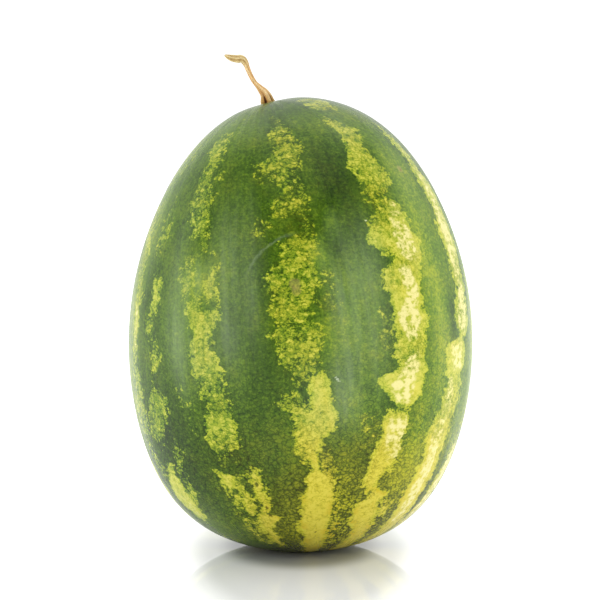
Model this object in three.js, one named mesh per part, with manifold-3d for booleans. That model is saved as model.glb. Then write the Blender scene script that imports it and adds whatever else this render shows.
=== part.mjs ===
// An oval, striped watermelon that stands on a small flat spot at its blossom end, with the dry stem still on it.
// Millimetres, +Z up. The origin is the middle of the flat spot, -Y is the front and +X the right-hand side.
import * as THREE from "three";
import { mergeVertices } from "three/addons/utils/BufferGeometryUtils.js";
import Module from "manifold-3d";

const wasm = await Module();
wasm.setup();

// Driving dimensions of the fruit.
const FRUIT_HEIGHT = 307; // from the floor to the crown
const GIRTH_RADIUS = 116.5; // the outline's scale: the fruit is 234 across where it is widest
const SPOT_DEPTH = 2; // how much of the round end the flat spot takes away
const OUTLINE = [1, -0.078, 0.04, -0.076, 0.14]; // makes an egg of an ellipse, blunt at the blossom end
const FRUIT_SIDES = 80;
const FRUIT_RINGS = 48;

// The fruit grew round a line from the blossom end to the stem, which leans a little to the left.
const BLOSSOM_END = new THREE.Vector3(12, 0, 0);
const STEM_FOOT_XY = new THREE.Vector2(-22.3, 5);
const HOLLOW_DEPTH = 1.6; // the shallow hollow in which the stem stands
const HOLLOW_RADIUS = 15;
const LOBES = 10; // one low swell for each pale stripe
const LOBE_HEIGHT = 0.4;
const LOBE_TURN = THREE.MathUtils.degToRad(4); // longitude of the first lobe, right of the front
const LEAN_OF_SIDES = 0.5; // the sides are this uneven, in two broad waves

// Driving dimensions of the stem.
const STEM_GAP = 0.3; // between the stem's foot and the skin
const STEM_ROOT = 5; // how far below the skin the stem starts before it is cut to fit
const STEM_SIDES = 30;
const STEM_STEPS = 54;
const STEM_RIBS = 5;
const RIB_DEPTH = 0.1; // as a share of the stem's own thickness, here and below
const TOE_DEPTH = 0.27; // the ribs deepen by this much at the foot
const TOE_LENGTH = 0.08; // and fade within this share of the stem's length
const FLATTENING = 0.16; // the dry stem isn't round
const TWIST = 1.2; // radians from foot to tip

// Radius of the fruit at s, from -1 at the blossom end to 1 at the crown.
function girth(s) {
  const egg = OUTLINE.reduce((sum, k, power) => sum + k * s ** power, 0);
  return GIRTH_RADIUS * Math.sqrt(Math.max(0, 1 - s * s)) * egg;
}

const MIDDLE = (FRUIT_HEIGHT - SPOT_DEPTH) / 2;
const HALF_HEIGHT = (FRUIT_HEIGHT + SPOT_DEPTH) / 2;

// Height of the crown's skin at a distance from the vertical axis.
function crownHeight(distance) {
  let low = 0.5;
  let high = 1;
  while (high - low > 1e-9) {
    const s = (low + high) / 2;
    if (girth(s) > distance) low = s;
    else high = s;
  }
  return MIDDLE + HALF_HEIGHT * low;
}

const STEM_FOOT = new THREE.Vector3(
  STEM_FOOT_XY.x,
  STEM_FOOT_XY.y,
  crownHeight(STEM_FOOT_XY.length()),
);
const GROWTH_AXIS = STEM_FOOT.clone().sub(BLOSSOM_END).normalize();
const CORE = BLOSSOM_END.clone().addScaledVector(
  GROWTH_AXIS,
  (MIDDLE - BLOSSOM_END.z) / GROWTH_AXIS.z,
);
const RIGHT = new THREE.Vector3(0, -1, 0).cross(GROWTH_AXIS).negate().normalize();
const FRONT = RIGHT.clone().cross(GROWTH_AXIS).normalize();

// Longitude round the growth axis, nought at the front and growing to the right, and the angle from the stem.
function growthAngles(point) {
  const arm = point.clone().sub(CORE);
  return {
    longitude: Math.atan2(arm.dot(RIGHT), arm.dot(FRONT)),
    fromStem: arm.angleTo(GROWTH_AXIS),
  };
}

// A point of the skin. Direction is a unit vector, whose height picks the ring, and grow moves the skin out.
function skinPoint(direction, grow) {
  const s = THREE.MathUtils.clamp(direction.z, -1, 1);
  const turn = Math.atan2(direction.y, direction.x);
  const point = new THREE.Vector3(
    girth(s) * Math.cos(turn),
    girth(s) * Math.sin(turn),
    MIDDLE + HALF_HEIGHT * s,
  );
  const { longitude, fromStem } = growthAngles(point);
  const fade = Math.sin(fromStem) ** 2;
  const lobe = LOBE_HEIGHT * Math.cos(LOBES * (longitude - LOBE_TURN));
  const lean = LEAN_OF_SIDES * Math.cos(2 * turn + s);
  const relief = (lobe + lean) * fade + grow;
  const radius = Math.hypot(point.x, point.y);
  if (radius > 0) point.multiply(new THREE.Vector3(1 + relief / radius, 1 + relief / radius, 1));
  const reach = point.distanceTo(STEM_FOOT) / HOLLOW_RADIUS;
  point.z += grow * s - HOLLOW_DEPTH * Math.exp(-reach * reach);
  return point;
}

// A closed mesh as a solid: only its places count.
function solidOf(geometry) {
  const bare = geometry.clone();
  bare.deleteAttribute("normal");
  bare.deleteAttribute("uv");
  const merged = mergeVertices(bare, 1e-4);
  return new wasm.Manifold(
    new wasm.Mesh({
      numProp: 3,
      vertProperties: merged.attributes.position.array,
      triVerts: new Uint32Array(merged.index.array),
    }),
  );
}

function geometryOf(solid) {
  const mesh = solid.getMesh();
  const geometry = new THREE.BufferGeometry();
  geometry.setAttribute("position", new THREE.BufferAttribute(mesh.vertProperties, 3));
  geometry.setIndex(new THREE.BufferAttribute(mesh.triVerts, 1));
  geometry.computeVertexNormals();
  return geometry;
}

// Moves every vertex of a geometry to where place(vertex) says.
function reshape(geometry, place) {
  const spots = geometry.attributes.position;
  for (let i = 0; i < spots.count; i++) {
    const moved = place(new THREE.Vector3().fromBufferAttribute(spots, i));
    spots.setXYZ(i, moved.x, moved.y, moved.z);
  }
  return geometry;
}

// The fruit: an egg-shaped body with low lobes and a hollow at the stem, its round end cut flat where it stands.
function fruitSolid(grow = 0) {
  const ball = new THREE.SphereGeometry(1, FRUIT_SIDES, FRUIT_RINGS).rotateX(Math.PI / 2);
  const body = solidOf(reshape(ball, (vertex) => skinPoint(vertex.normalize(), grow)));
  const slabSide = 2 * GIRTH_RADIUS;
  const slab = new THREE.BoxGeometry(slabSide, slabSide, slabSide);
  slab.translate(0, 0, -slabSide / 2 - grow);
  return body.subtract(solidOf(slab));
}

// The stem's middle line, from its foot to its torn tip, as steps from the foot: right, back and up.
const STEM_LINE = [
  [0, 0, 0],
  [-1.4, 0.3, 4.6],
  [-5, 0.9, 9],
  [-8.9, 1.8, 13.3],
  [-11.4, 2.4, 17.6],
  [-13.4, 2.4, 22],
  [-15, 1.8, 25.8],
  [-17.3, 0.9, 28.3],
  [-20.6, -0.2, 28.5],
  [-25, -1.4, 29.4],
  [-28.9, -2.2, 31.1],
];

// Thickness of the stem along its line: a foot that spreads, a slim neck and a swollen, pinched tip.
const STEM_THICKNESS = [
  [0, 9],
  [0.09, 7.6],
  [0.17, 6.2],
  [0.24, 4.6],
  [0.32, 3.5],
  [0.48, 3.2],
  [0.6, 3.4],
  [0.68, 4.4],
  [0.78, 4.9],
  [0.88, 4.2],
  [0.95, 2.9],
  [1, 1.1],
];

function thicknessAt(along) {
  const next = Math.max(1, STEM_THICKNESS.findIndex(([at]) => at >= along));
  const [from, thin] = STEM_THICKNESS[next - 1];
  const [to, thick] = STEM_THICKNESS[next];
  const share = THREE.MathUtils.smoothstep(along, from, to);
  return THREE.MathUtils.lerp(thin, thick, share);
}

// The stem: a ribbed stalk whose ribs part into five toes at the foot, bent along its middle line.
function stemSolid() {
  const outward = STEM_FOOT.clone().sub(CORE).normalize();
  const root = STEM_FOOT.clone().addScaledVector(outward, -STEM_ROOT);
  const line = new THREE.CatmullRomCurve3(
    [root, ...STEM_LINE.map((step) => STEM_FOOT.clone().add(new THREE.Vector3(...step)))],
    false,
    "centripetal",
  );
  const rootShare = STEM_ROOT / line.getLength();
  const frames = line.computeFrenetFrames(STEM_STEPS, false);
  const stalk = new THREE.CylinderGeometry(1, 1, 1, STEM_SIDES, STEM_STEPS);
  const bent = reshape(stalk, (vertex) => {
    const share = vertex.y + 0.5;
    const step = Math.round(share * STEM_STEPS);
    const along = THREE.MathUtils.clamp((share - rootShare) / (1 - rootShare), 0, 1);
    const turn = Math.atan2(vertex.z, vertex.x);
    const twisted = turn + TWIST * along;
    const depth = RIB_DEPTH + TOE_DEPTH * Math.exp(-along / TOE_LENGTH);
    const ribbed = 1 + depth * Math.cos(STEM_RIBS * twisted);
    const flattened = 1 - FLATTENING * Math.cos(2 * twisted);
    const outline = ribbed * flattened * Math.hypot(vertex.x, vertex.z);
    const reach = (thicknessAt(along) / 2) * outline;
    return line
      .getPointAt(share)
      .addScaledVector(frames.normals[step], reach * Math.cos(turn))
      .addScaledVector(frames.binormals[step], -reach * Math.sin(turn));
  });
  return solidOf(bent).subtract(fruitSolid(STEM_GAP));
}

const rind = new THREE.MeshStandardMaterial({ color: 0x5a7a38, roughness: 0.42, metalness: 0 });
const driedStem = new THREE.MeshStandardMaterial({ color: 0xb58a52, roughness: 0.85, metalness: 0 });

const watermelon = new THREE.Group();

const fruit = new THREE.Mesh(geometryOf(fruitSolid()), rind);
fruit.name = "fruit";
watermelon.add(fruit);

const stem = new THREE.Mesh(geometryOf(stemSolid()), driedStem);
stem.name = "stem";
watermelon.add(stem);

export default watermelon;
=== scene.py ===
import math
import random

import bmesh
import bpy
import numpy as np
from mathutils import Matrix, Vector


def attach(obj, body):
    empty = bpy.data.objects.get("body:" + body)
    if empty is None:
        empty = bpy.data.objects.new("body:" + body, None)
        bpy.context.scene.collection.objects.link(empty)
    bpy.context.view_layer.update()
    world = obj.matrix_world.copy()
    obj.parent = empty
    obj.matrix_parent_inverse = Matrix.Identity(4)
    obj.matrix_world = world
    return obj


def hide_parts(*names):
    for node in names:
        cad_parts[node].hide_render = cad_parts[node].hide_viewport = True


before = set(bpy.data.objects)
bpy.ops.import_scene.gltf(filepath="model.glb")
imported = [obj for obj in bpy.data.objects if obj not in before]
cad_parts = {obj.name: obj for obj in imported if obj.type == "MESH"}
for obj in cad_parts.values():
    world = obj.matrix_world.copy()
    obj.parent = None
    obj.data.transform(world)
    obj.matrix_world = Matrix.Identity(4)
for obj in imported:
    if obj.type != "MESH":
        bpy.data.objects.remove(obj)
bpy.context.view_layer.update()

# The fruit is one egg-shaped berry, rind and flesh in one closed body. Its own weight presses a small flat
# spot on the blossom end, where it stands, and its stem stands in a shallow hollow left of the crown. The
# skin is hard, smooth and waxy: dark green, with broken pale stripes along low swells from the stem down.
MM = 0.001
FRUIT_HEIGHT = 307 * MM
GIRTH_RADIUS = 116.5 * MM
SPOT_DEPTH = 2 * MM
OUTLINE = (1, -0.078, 0.04, -0.076, 0.14)
MIDDLE = (FRUIT_HEIGHT - SPOT_DEPTH) / 2
HALF_HEIGHT = (FRUIT_HEIGHT + SPOT_DEPTH) / 2
BLOSSOM_END = np.array((12 * MM, 0, 0))
STEM_FOOT_XY = np.array((-22.3 * MM, 5 * MM))
HOLLOW_DEPTH = 1.6 * MM
HOLLOW_RADIUS = 15 * MM
LOBES = 10
LOBE_HEIGHT = 0.4 * MM
LOBE_TURN = math.radians(4)
LEAN_OF_SIDES = 0.5 * MM
# Skin and stem are drawn this much in, so that their finer facets stay within the solids.
TRIM = 0.08 * MM
FRUIT_SIDES = 320
FRUIT_RINGS = 300


def girth(s):
    """Radius of the fruit at s, from -1 at the blossom end to 1 at the crown."""
    egg = sum(k * s**power for power, k in enumerate(OUTLINE))
    return GIRTH_RADIUS * np.sqrt(np.maximum(0, 1 - s * s)) * egg


def crown_height(distance):
    """Height of the crown's skin at a distance from the upright axis."""
    low, high = 0.5, 1.0
    while high - low > 1e-9:
        s = (low + high) / 2
        low, high = (s, high) if girth(s) > distance else (low, s)
    return MIDDLE + HALF_HEIGHT * low


STEM_FOOT = np.array((*STEM_FOOT_XY, crown_height(math.hypot(*STEM_FOOT_XY))))
GROWTH_AXIS = (STEM_FOOT - BLOSSOM_END) / np.linalg.norm(STEM_FOOT - BLOSSOM_END)
CORE = BLOSSOM_END + GROWTH_AXIS * MIDDLE / GROWTH_AXIS[2]
RIGHT = -np.cross((0, -1, 0), GROWTH_AXIS)
RIGHT /= np.linalg.norm(RIGHT)
FRONT = np.cross(RIGHT, GROWTH_AXIS)


def growth_angles(places):
    """Longitude round the growth axis, from the front to the right, and the angle from the stem."""
    arms = places - CORE
    longitude = np.arctan2(arms @ RIGHT, arms @ FRONT)
    from_stem = np.arccos(np.clip(arms @ GROWTH_AXIS / np.linalg.norm(arms, axis=1), -1, 1))
    return longitude, from_stem


def skin_places(directions):
    """Where the skin is, for unit directions whose heights pick the rings."""
    s = directions[:, 2]
    turn = np.arctan2(directions[:, 1], directions[:, 0])
    radius = girth(s)
    plain = np.stack([radius * np.cos(turn), radius * np.sin(turn), MIDDLE + HALF_HEIGHT * s], 1)
    longitude, from_stem = growth_angles(plain)
    fade = np.sin(from_stem) ** 2
    lobe = LOBE_HEIGHT * np.cos(LOBES * (longitude - LOBE_TURN))
    lean = LEAN_OF_SIDES * np.cos(2 * turn + s)
    relief = (lobe + lean) * fade - TRIM
    swell = 1 + relief / np.maximum(radius, MM)
    places = plain * np.stack([swell, swell, np.ones_like(swell)], 1)
    reach = np.linalg.norm(places - STEM_FOOT, axis=1) / HOLLOW_RADIUS
    places[:, 2] -= HOLLOW_DEPTH * np.exp(-reach * reach)
    places[:, 2] = np.maximum(places[:, 2], 0)
    return places


# Each strand of a stripe as rows from the stem down: degrees from the stem, the longitudes of its left and
# right edge in degrees, and how much of the green is missing there, from 0 to 1.
STRANDS = [
    # Far left.
    [(20, -92, -79, 0.5), (27, -95, -82, 0.65), (34, -94, -83, 0.6), (38, -92, -82, 0.4)],
    [(24, -76, -60, 0.25), (29, -74, -60, 0.4), (34, -72, -62, 0.25)],
    [(41, -83, -73, 0.5), (45, -81, -70, 0.65), (49, -81, -69, 0.6), (52, -79, -68, 0.75),
     (55, -73, -66, 0.8), (59, -68, -63, 0.6), (63, -70, -64, 0.45), (67, -71, -65, 0.65),
     (72, -68, -62, 0.7), (76, -69, -64, 0.88), (83, -68.5, -64, 0.92), (90, -68.5, -65, 0.8),
     (93, -69, -66, 0.55), (96, -70, -66, 0.65), (100, -70, -63, 0.7), (105, -71, -63, 0.66),
     (109, -73, -64, 0.75), (113, -72, -63, 0.6), (117, -71, -63, 0.62), (119.5, -71, -66, 0.45)],
    [(121, -71, -66, 0.65), (125, -69, -64, 0.6), (128, -67, -60, 0.6), (130, -67, -62, 0.5),
     (132, -67, -64, 0.35)],
    # Left, a broken double.
    [(50, -57, -51, 0.5), (53, -58, -50, 0.7), (56, -60, -53, 0.6), (58.5, -59, -55, 0.4)],
    [(42, -60, -50, 0.25), (47, -61, -50, 0.3)],
    [(68, -54.6, -50.5, 0.89), (73, -55.1, -49.8, 0.94), (77, -55.6, -50, 0.79), (79.5, -56, -52, 0.5)],
    [(79.5, -59.3, -53.7, 0.63), (84.5, -59.3, -54.7, 0.73), (86.5, -58, -56, 0.4)],
    [(87, -54, -51, 0.68), (91, -54.5, -50, 0.58), (94, -54.5, -49, 0.73), (98, -55.5, -52, 0.73),
     (100, -55, -52, 0.4)],
    [(103.5, -55, -51, 0.58), (106, -59, -48.5, 0.73), (110, -61, -48.5, 0.74), (113, -62, -50, 0.7),
     (116, -63, -52, 0.66), (118, -62, -53, 0.58), (119.5, -60, -55, 0.35)],
    [(104, -43, -41, 0.35), (107.5, -43, -40, 0.45)],
    [(107.5, -40, -35, 0.45), (110, -39, -36, 0.3)],
    [(115, -38, -35, 0.4), (117.5, -38, -36, 0.4)],
    [(120.5, -49.5, -46, 0.5), (123, -51, -46, 0.66), (126.5, -54, -48, 0.6), (130, -53.5, -47.5, 0.55),
     (132, -52, -48, 0.6), (134, -52, -46.3, 0.85), (136, -52, -48, 0.8), (137.5, -52, -50, 0.6)],
    [(126, -58.5, -55, 0.85), (128.3, -60.6, -54.2, 0.95), (130, -62, -53.7, 1.0), (133, -64.3, -53, 1.0),
     (136, -64, -52.2, 1.0), (139.5, -62.6, -51.9, 1.0), (142.4, -59.8, -51.7, 0.95),
     (144, -57.5, -53, 0.8)],
    [(150, -62, -50, 0.35), (155, -60, -46, 0.4)],
    # Left of the middle.
    [(21.5, -37, -29, 0.38), (24, -42, -28, 0.59), (26, -44, -28, 0.77), (28, -40, -29, 0.77),
     (30, -38, -29, 0.67), (33, -37, -30, 0.67), (35, -40, -31, 0.61), (38, -39, -29, 0.64),
     (41, -43, -29, 0.59), (44, -41, -28, 0.61), (47, -39, -28, 0.61), (50, -38, -28, 0.67),
     (53, -37, -27, 0.63), (55, -35, -27, 0.58), (57, -32, -27, 0.53), (59.5, -31, -27, 0.43)],
    [(35, -30, -25, 0.4), (37, -30, -24, 0.4)],
    [(62, -36, -32, 0.38), (64, -39, -33, 0.58), (67, -40, -32, 0.68), (70, -39, -32, 0.6),
     (73, -40, -36, 0.53), (75, -38, -35, 0.38)],
    [(60.5, -24.5, -22, 0.38), (64, -25, -22, 0.58), (67, -26, -23, 0.68), (70, -29, -23, 0.74),
     (73, -29, -23, 0.74), (75, -27, -23, 0.64), (78, -24, -22, 0.43)],
    [(74, -34, -30, 0.5), (76, -36, -29, 0.64), (78, -36, -29, 0.72), (80, -36, -22, 0.74),
     (82, -35, -23, 0.78), (85, -33, -26, 0.82), (88, -34, -26, 0.76), (91, -36, -27, 0.76),
     (93, -35, -24, 0.81), (96, -35, -24, 0.8), (99, -34, -23, 0.74), (102, -33, -23, 0.68),
     (104.5, -32, -23, 0.64), (107.5, -31, -22, 0.64), (110, -32, -21.5, 0.6), (112.5, -33, -21.6, 0.83),
     (115.5, -33, -21.4, 0.88), (118.5, -33, -21.2, 0.8), (121, -32, -21.6, 0.66), (122.5, -31, -27, 0.5),
     (126, -31, -28, 0.4)],
    [(121, -27, -25, 0.4), (124, -26, -25, 0.35)],
    [(126.8, -20.4, -17.3, 0.5), (127.9, -21, -16.6, 0.8), (129.2, -21.2, -16.2, 0.88),
     (130.8, -20.9, -16, 0.92), (132.6, -21, -15.7, 0.95), (134.1, -20.5, -15.9, 0.95),
     (135.7, -20.4, -15.5, 0.92), (137.3, -19.7, -15.3, 0.92), (138.7, -19.5, -15.6, 0.92),
     (140, -20.4, -16.6, 0.92), (141, -22.4, -17.5, 0.92), (142.2, -24, -12.9, 0.95),
     (143.8, -24.3, -14, 0.95), (144.8, -24.3, -16.4, 0.95), (146.6, -23.6, -18.7, 0.97),
     (149, -24, -18, 0.99), (151.9, -24.3, -18.1, 0.99), (153.9, -23.9, -18.9, 0.97),
     (156.2, -24, -19.8, 0.82)],
    [(128, -33.2, -30.6, 0.84), (128.6, -32.9, -27.4, 0.99), (129.1, -32.5, -26.1, 1),
     (130.4, -32.3, -26.2, 1), (131.6, -31.8, -26.7, 1), (132.5, -31.3, -28.2, 0.93),
     (133.7, -30.9, -28.4, 0.93), (135, -30.9, -27.2, 0.97), (135.9, -31.1, -27.3, 0.83),
     (136.9, -31.7, -29.7, 0.72), (137.9, -31.2, -28.9, 0.69)],
    [(128.9, -25.5, -23.6, 0.57), (129.9, -26.7, -23.3, 0.73), (131.1, -27.6, -24.1, 0.87),
     (132.2, -27.6, -24.3, 0.89), (133.5, -27, -24, 0.83), (134.4, -26, -22, 0.83),
     (135.8, -26.7, -21.8, 0.89), (137.1, -26.5, -21.4, 0.91), (138.4, -26.9, -21.5, 0.91),
     (139.8, -27.3, -22.4, 0.91), (140.9, -27.1, -23.3, 0.87), (141.6, -26.3, -24.2, 0.63)],
    [(136, -28.2, -26.6, 0.76), (137.3, -28.3, -26.8, 0.76), (138.6, -28.7, -26.5, 0.76),
     (139.7, -28.7, -26.9, 0.56)],
    [(140.9, -31.6, -28.7, 0.63), (142.2, -31.7, -28.2, 0.79), (143.8, -31.6, -28.8, 0.79),
     (145.5, -31.6, -27.4, 0.83), (147.4, -30.7, -28, 0.73), (149.4, -30.6, -27.2, 0.73),
     (151.7, -30.4, -27.3, 0.68), (153.8, -29.8, -26.5, 0.63)],
    [(141.9, -26.8, -24.7, 0.68), (143.4, -27, -24.8, 0.78), (145.1, -27, -24.8, 0.74),
     (146.9, -27.3, -24.7, 0.74), (148.9, -27.2, -25.1, 0.68), (151.1, -27.8, -25.5, 0.63),
     (153.1, -27.5, -25, 0.58)],
    # The middle of the front.
    [(20.5, 4, 8, 0.27), (23, 2, 9, 0.45), (25, 0.5, 13, 0.65), (28, 0.5, 13.5, 0.69), (30, 1, 14, 0.69),
     (32, -0.8, 15.5, 0.67), (34, -3.8, 15.5, 0.65), (36, -6.3, 13.5, 0.69), (38, -5.8, 12, 0.62),
     (40, -3.5, 10.5, 0.54), (42, 0, 11, 0.5), (44, 3, 12, 0.5), (46, 3, 12.5, 0.5), (47, -2, 11, 0.5),
     (49, -3, 11.5, 0.56), (51, -3, 11, 0.58), (52.5, -2, 10.5, 0.5), (53.3, 5, 10, 0.24)],
    [(52.5, -9, -5, 0.35), (55, -9, -3, 0.48), (57, -8.5, -6, 0.4)],
    [(36, -10, -6, 0.3), (40, -8, -4, 0.3)],
    [(57.5, 8, 11.5, 0.41), (59.5, 0, 12, 0.64), (62, -0.5, 12, 0.71), (65, -0.5, 12, 0.71),
     (67, -4, 10.5, 0.71), (69, -6, 10.5, 0.71), (74, -6, 11.5, 0.68), (76, -5, 10, 0.68),
     (79, -6, 9, 0.66), (81, -7, 6, 0.66), (83, -5.5, 8, 0.68), (85, -4, 6, 0.66), (86, -5, 9, 0.66),
     (88, -7.5, 9, 0.64), (90, -6, 10, 0.66), (92, -5, 10, 0.64), (94, -5, 9, 0.68), (96, -4.5, 8, 0.68),
     (98, -4, 7.5, 0.6), (100, -3, 5, 0.64), (102, -1.5, 4, 0.58), (103.5, -0.5, 3, 0.4)],
    [(72.5, 12.5, 15.5, 0.55), (74.5, 12.5, 15, 0.4)],
    [(78, 9, 15, 0.35), (82, 10, 16, 0.3)],
    [(107, -4, 2, 0.55), (109, -9, 3, 0.55), (111, -4, 3.5, 0.72), (114, -3, 4, 0.85), (118, -3, 4, 0.85),
     (123, -3, 4, 0.82), (126, -2, 3, 0.8)],
    [(101.3, 5, 8, 0.75), (103, 4, 10, 0.95), (109, 3.5, 10, 0.95), (112, 3, 11, 0.93), (114, 0, 12, 0.9),
     (116, -2, 12, 0.9), (118, -2, 11, 0.9), (120, -1.5, 7, 0.9), (123, -1, 6, 0.9), (125, 0, 5, 0.98),
     (127, 1, 5, 1.0), (129, 1.5, 5, 1.0), (130.2, -0.5, 6, 1.0), (131.8, -2, 9.5, 1.0),
     (133.5, -1.6, 11, 1.0), (137, -3, 10.4, 1.0), (140, -4.6, 9.6, 1.0), (143, -6, 9, 1.0),
     (147, -6.5, 8, 1.0), (151, -6.5, 7, 1.0), (155, -8, 5, 1.0), (160, -10, 3, 1.0), (166, -14, 0, 1.0)],
    [(124, 5, 9, 0.6), (130, 4, 10.5, 0.72), (136, 7, 11, 0.6), (142, 8, 11, 0.66), (150, 6, 11, 0.66),
     (156, 5, 10, 0.66)],
    # Right of the middle.
    [(12.5, 36, 62, 0.6), (16, 34, 62, 0.76), (19, 34, 60, 0.74), (21, 40, 56, 0.55)],
    [(25.5, 35, 40, 0.54), (28, 35, 44, 0.79), (31, 37, 48, 0.83), (34, 36, 48, 0.77), (36, 35, 45, 0.83),
     (38, 35, 45, 0.83), (40, 31, 46, 0.83), (43, 33, 48, 0.84), (46, 34, 49, 0.8), (48, 35, 49, 0.75),
     (50, 33, 46, 0.64), (51.5, 33, 42, 0.45)],
    [(53, 36, 42, 0.6), (56, 34, 43, 0.68), (58, 31.5, 42, 0.72), (61, 31, 42, 0.84), (64, 30, 42, 0.95),
     (66, 31.5, 41, 0.93), (67.5, 34, 40, 0.75)],
    [(52, 38, 42, 0.6), (54, 38, 47, 0.75), (56, 38, 48, 0.81), (58, 37.5, 48, 0.86), (60, 37, 48, 0.9),
     (62, 37, 48, 0.88), (64, 36.5, 50, 0.9), (66, 36, 51, 0.9), (68, 36, 51, 0.9), (70, 38, 51, 0.82),
     (71.5, 36, 50, 0.79), (73, 32, 48.5, 0.84), (76, 31, 47, 0.91), (78, 30.8, 46, 0.91),
     (80, 33, 46, 0.95), (83, 33, 46, 0.95), (86, 33.5, 45, 0.97), (90, 32.5, 48, 0.95), (93, 34, 45, 0.9),
     (96, 32, 45, 0.86), (99, 31, 44.5, 0.8), (101, 33, 44, 0.84), (103, 34, 45, 0.88),
     (105, 26, 44.5, 0.97), (107, 27, 44, 1), (109, 28, 43, 1), (111, 30, 43, 1), (113, 31, 42, 0.97),
     (115, 33, 37, 0.7)],
    [(115.9, 28.8, 34.9, 0.8), (116.9, 27.3, 36.6, 0.9), (118.1, 25.8, 37.6, 0.96),
     (120.2, 26.1, 37.8, 0.98), (122.2, 26.6, 36.8, 0.96), (123, 26, 35.6, 0.92),
     (123.8, 25.4, 35.2, 0.92), (125, 24.8, 35.3, 0.92), (126.9, 23.8, 35, 0.94),
     (127.8, 22.8, 34.4, 0.94), (128.8, 22, 33.7, 0.94), (129.9, 21.8, 33.3, 0.94),
     (130.9, 21.4, 32.6, 0.92), (131.8, 21.2, 30.6, 0.92), (133, 21, 30, 0.94), (133.6, 20, 28.8, 0.9),
     (134.8, 19.6, 27.8, 0.92), (136.1, 20.2, 26.5, 0.98), (136.8, 21.6, 26.2, 1),
     (137.8, 22.5, 26.6, 0.95), (139.4, 22.1, 32, 0.95), (140.3, 21.6, 32.4, 0.97),
     (140.9, 17.6, 30.8, 0.98), (142.2, 17.4, 29.3, 1), (143.1, 16.4, 29.6, 1), (144.2, 16.4, 29.1, 1),
     (145.8, 16.2, 30.9, 1), (146.9, 16.5, 29.6, 1), (149.1, 17.3, 30.1, 1), (151.6, 18.5, 31.8, 1),
     (154.1, 18.8, 30.7, 1), (156.4, 17.6, 29.9, 1), (158.9, 15.8, 28, 1), (161.4, 14.4, 28, 1),
     (166, 10, 30, 1)],
    [(129.5, 30.3, 33, 0.6), (131.2, 30.4, 32.9, 0.7), (132.7, 30.3, 32.1, 0.7), (134.1, 30.2, 31.3, 0.5)],
    [(115.8, 18.6, 20.6, 0.4), (117.4, 19.2, 22.3, 0.55), (118.9, 19.9, 22.7, 0.7),
     (120.2, 20.2, 22.5, 0.6), (121.2, 22, 24.5, 0.5), (122.2, 22.7, 24.9, 0.5)],
    [(116.7, 22.4, 26.7, 0.3), (118.3, 23.8, 27.1, 0.35)],
    [(141.5, 30.5, 34, 0.5), (142.7, 29.5, 35.5, 0.8), (144.1, 30.2, 36.5, 0.88), (145.4, 30.2, 36, 0.84),
     (147.5, 30.5, 35, 0.7)],
    [(84, 29, 33, 0.35), (88, 28, 33, 0.42), (93, 27.5, 33, 0.48), (97, 28.5, 33, 0.4)],
    # Right, leaning in towards the front as it goes down.
    [(30, 68, 72, 0.7), (36, 67, 73, 0.85), (42, 67, 73, 0.88), (46, 66, 74, 0.88), (51.5, 66, 76.5, 0.96),
     (54.6, 67, 76.5, 0.96), (57.6, 66.4, 75.5, 0.92), (60.7, 65.2, 75, 0.92), (64, 64, 75.5, 0.96),
     (67, 64.6, 75, 0.92), (70, 64.5, 75.5, 0.96), (73, 65.5, 74.7, 0.9), (76, 63.5, 73, 0.8),
     (79, 65, 72.8, 0.85), (82.7, 66.5, 74.5, 0.86), (85.5, 64.4, 73.5, 0.88), (88.6, 62.8, 73, 0.84),
     (91.7, 62.2, 73, 0.82), (95, 63, 73, 0.84), (97, 64.6, 71, 0.88), (98, 62, 68.2, 0.88),
     (98.8, 57, 68, 0.9), (100.3, 54.1, 68.6, 0.96), (103.4, 55, 67.6, 0.98), (106.5, 55, 67.6, 0.96),
     (108, 54.6, 66, 0.96), (110, 56.6, 64.6, 0.88), (112.4, 54.6, 66, 0.86), (115, 53.2, 66.5, 0.78),
     (118, 51.9, 65.5, 0.82), (121, 50, 63.5, 0.84), (123.3, 47, 62, 0.86), (126, 46, 60.6, 0.9),
     (129, 46.8, 60.4, 0.98), (132, 47.8, 59.8, 0.96), (134, 44.8, 59, 1), (137.7, 43.8, 59, 1),
     (140.2, 41.2, 57, 1), (143.5, 40.2, 56, 1), (147, 40.4, 54.8, 1), (151, 39.9, 54.8, 0.97),
     (157, 37.4, 53.4, 0.94), (165, 33.4, 55.4, 0.94)],
    [(123.5, 60.8, 63.4, 0.6), (127.5, 60.8, 63.8, 0.6), (129.5, 59.5, 62, 0.45)],
    # Far right, seen at the lower edge.
    [(88, 96, 106, 0.6), (96, 94, 104, 0.8), (104, 90, 102, 0.6), (112, 86, 97, 0.5), (120, 79, 90, 0.5),
     (127, 70.8, 80, 0.5), (129, 70.3, 77, 0.6), (132, 68.3, 78, 0.78), (135, 67.8, 79.5, 0.84),
     (137.6, 65.4, 77, 0.92), (140.2, 63.6, 75.5, 0.96), (143, 61, 73.5, 0.96), (146.3, 60.2, 73, 0.96),
     (149.7, 57.8, 72, 0.92), (153, 56.3, 69, 0.88), (158, 55.8, 73, 0.92), (165, 52.8, 76, 0.95)],
    [(24, 98, 108, 0.6), (34, 97, 108, 0.7), (44, 100, 109, 0.6), (56, 96, 108, 0.75), (68, 98, 107, 0.7),
     (80, 96, 107, 0.75)],
]
# The stripes on the side away from the front: middle longitudes in degrees.
BACK_STRIPES = (134, 166, -162, -130, -98)
STRIPE_SEED = 7
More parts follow.
